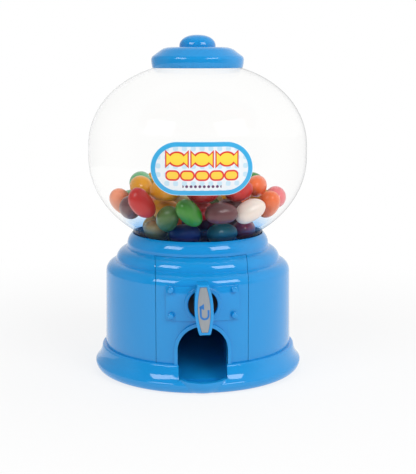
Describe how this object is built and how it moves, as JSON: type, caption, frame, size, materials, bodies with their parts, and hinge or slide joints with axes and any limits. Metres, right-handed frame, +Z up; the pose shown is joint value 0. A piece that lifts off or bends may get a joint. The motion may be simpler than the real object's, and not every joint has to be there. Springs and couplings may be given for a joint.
{
  "type": "candy machine",
  "caption": "Table-top candy dispenser: a clear globe on a stepped round base, with a turn handle, dispensing drum, chute, outlet tray and lift-off lid.",
  "frame": {"origin": "centre of the flat underside of the base plate", "axes": "+Z up through the globe and lid, -Y out of the front with the handle and outlet, +X to the right seen from the front"},
  "size_m": [0.085, 0.0885, 0.131],
  "materials": {
    "blue_plastic": "glossy injection-moulded ABS, light blue",
    "inner_plastic": "satin dark moulded plastic of the hidden drive",
    "screw_steel": "zinc-plated self-tapping screws",
    "silver_badge": "satin silver foil inlay",
    "clear_plastic": "clear polystyrene",
    "label_film": "printed self-adhesive film",
    "candy_red": "polished sugar shell",
    "candy_orange": "polished sugar shell",
    "candy_yellow": "polished sugar shell",
    "candy_peach": "polished sugar shell",
    "candy_mint": "polished sugar shell",
    "candy_green": "polished sugar shell",
    "candy_olive": "polished sugar shell",
    "candy_brown": "polished sugar shell",
    "candy_white": "polished sugar shell",
    "candy_navy": "polished sugar shell",
    "candy_teal": "polished sugar shell",
    "candy_maroon": "polished sugar shell",
    "candy_tan": "polished sugar shell",
    "candy_pink": "polished sugar shell"
  },
  "bodies": {
    "root": {"base_plate": "blue_plastic", "base_screws": "screw_steel", "foot_base": "blue_plastic", "body_housing": "blue_plastic", "front_panel": "blue_plastic", "hopper_dish": "blue_plastic", "drum_housing": "inner_plastic", "drum_housing_screws": "screw_steel", "bearing_cap": "inner_plastic", "bearing_cap_screws": "screw_steel", "chute": "blue_plastic", "chute_screws": "screw_steel", "globe": "clear_plastic", "globe_label": "label_film", "candies_red": "candy_red", "candies_orange": "candy_orange", "candies_yellow": "candy_yellow", "candies_peach": "candy_peach", "candies_mint": "candy_mint", "candies_green": "candy_green", "candies_olive": "candy_olive", "candies_brown": "candy_brown", "candies_white": "candy_white", "candies_navy": "candy_navy", "candies_teal": "candy_teal", "candies_maroon": "candy_maroon", "candies_tan": "candy_tan", "candies_pink": "candy_pink"},
    "drive": {"turn_handle": "blue_plastic", "handle_badge": "silver_badge", "dispensing_drum": "inner_plastic", "drum_screw": "screw_steel"},
    "lid": {"lid_cap": "blue_plastic", "lid_knob": "blue_plastic", "knob_screw": "screw_steel"}
  },
  "joints": [
    {"name": "handle_turn", "type": "hinge", "parent": "root", "child": "drive", "pos_m": [0, -0.03, 0.0334], "axis": [0, 1, 0], "continuous": true},
    {"name": "lid_lift", "type": "slide", "parent": "root", "child": "lid", "axis": [0, 0, 1], "range_m": [0, 0.04]}
  ]
}
